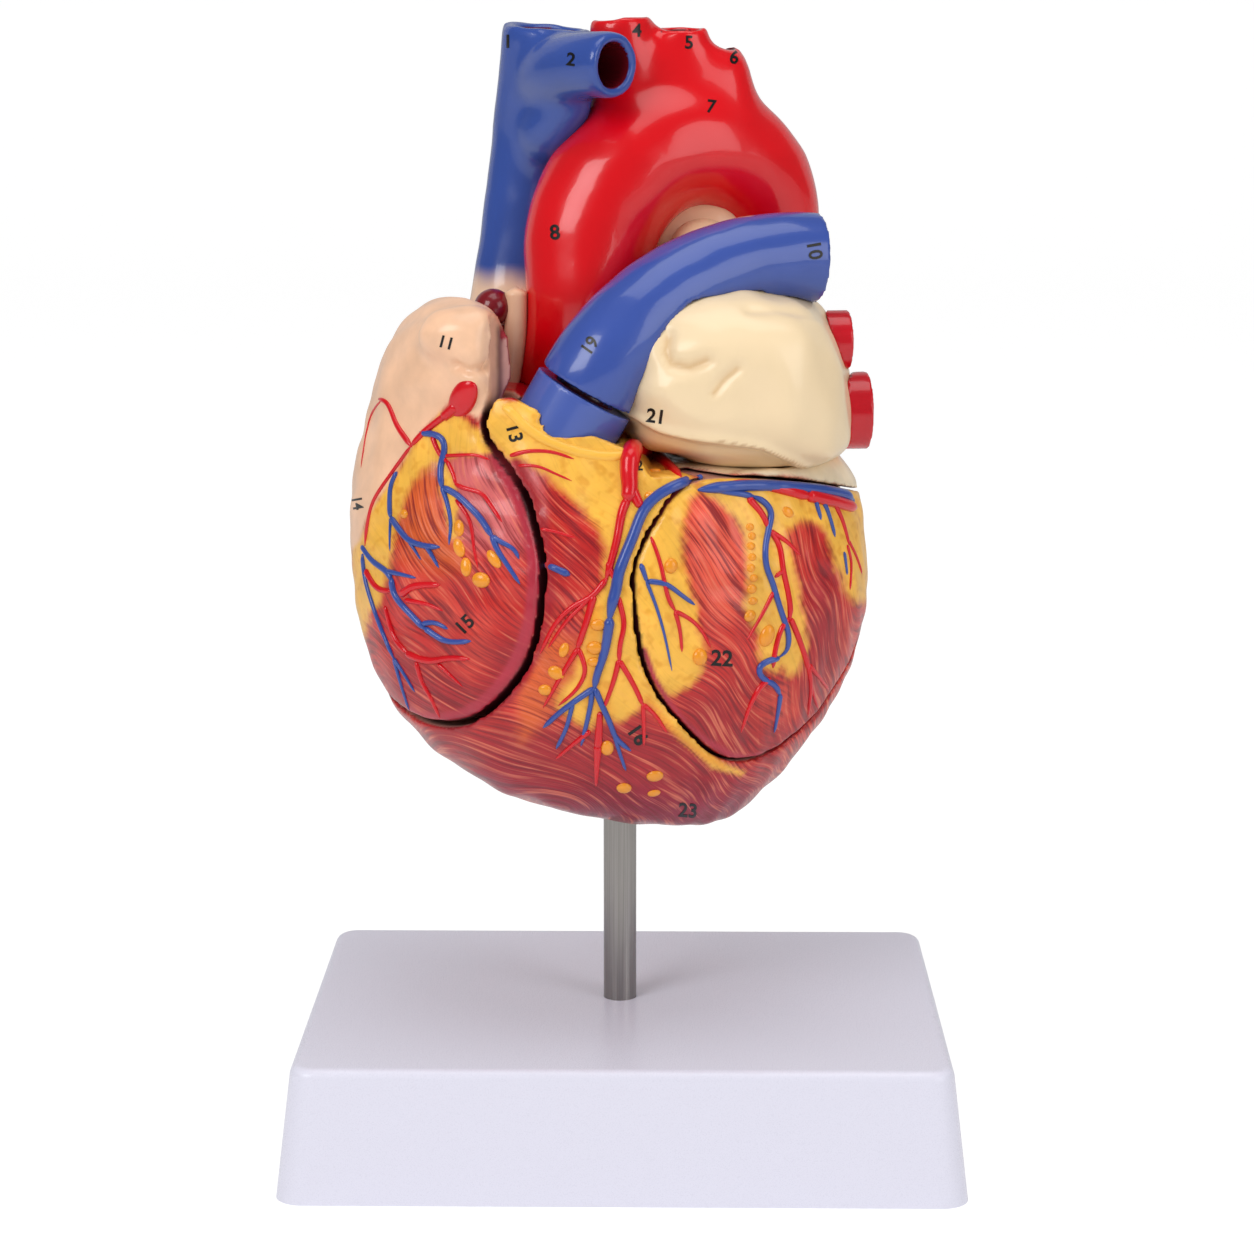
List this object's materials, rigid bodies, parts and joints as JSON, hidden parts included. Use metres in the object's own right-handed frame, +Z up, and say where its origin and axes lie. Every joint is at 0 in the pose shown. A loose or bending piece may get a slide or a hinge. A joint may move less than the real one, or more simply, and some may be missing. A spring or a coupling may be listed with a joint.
{
  "type": "heart anatomy model",
  "caption": "Painted heart anatomy model on a steel rod and a moulded base, with lift-off front covers and great vessels that open the chambers.",
  "frame": {"origin": "centre of the base's underside", "axes": "+Z up along the rod, +X to the right of someone facing the front, front is -Y"},
  "size_m": [0.2, 0.15, 0.3356],
  "materials": {
    "base_plastic": "satin",
    "rod_steel": "brushed",
    "zinc_steel": "plain",
    "liner_brass": "turned",
    "heart_paint": "semi-gloss enamel in several colours",
    "artery_red": "gloss enamel",
    "vein_blue": "gloss enamel",
    "atrium_cream": "semi-gloss enamel",
    "leaflet_ivory": "satin",
    "muscle_red": "semi-gloss enamel",
    "magnet_nickel": "plated"
  },
  "bodies": {
    "stand": {"base": "base_plastic", "support_rod": "rod_steel", "base_washer": "zinc_steel", "base_nut": "zinc_steel"},
    "liner": {"rod_liner": "liner_brass"},
    "core": {"heart_core": "heart_paint", "pulmonary_stump": "vein_blue", "core_magnets": "magnet_nickel", "inferior_vena_cava": "vein_blue", "tricuspid_valve": "leaflet_ivory", "mitral_valve": "leaflet_ivory", "pulmonary_valve_cusps": "leaflet_ivory", "aortic_valve_cusps": "leaflet_ivory", "right_papillary_muscles": "muscle_red", "left_papillary_muscles": "muscle_red", "tricuspid_chordae": "leaflet_ivory", "mitral_chordae": "leaflet_ivory"},
    "right_cover": {"right_heart_cover": "heart_paint", "right_cover_magnets": "magnet_nickel"},
    "left_cover": {"left_ventricle_cover": "heart_paint", "left_cover_magnets": "magnet_nickel"},
    "great_vessels": {"aorta": "artery_red", "superior_vena_cava": "vein_blue", "pulmonary_trunk": "vein_blue", "left_atrium": "atrium_cream", "left_pulmonary_veins": "artery_red", "right_pulmonary_veins": "artery_red", "top_magnets": "magnet_nickel"}
  },
  "joints": [
    {"name": "heart_lift", "type": "slide", "parent": "stand", "child": "liner", "axis": [0, 0, 1], "range_m": [0, 0.05]},
    {"name": "heart_spin", "type": "hinge", "parent": "liner", "child": "core", "pos_m": [-0.0015, 0, 0.12], "axis": [0, 0, 1], "continuous": true},
    {"name": "right_cover_pull", "type": "slide", "parent": "core", "child": "right_cover", "axis": [-0.7317, -0.6816, 0], "range_m": [0, 0.08]},
    {"name": "left_cover_pull", "type": "slide", "parent": "core", "child": "left_cover", "axis": [0.6712, -0.7413, 0], "range_m": [0, 0.08]},
    {"name": "great_vessels_lift", "type": "slide", "parent": "core", "child": "great_vessels", "axis": [0, 0, 1], "range_m": [0, 0.08]}
  ]
}
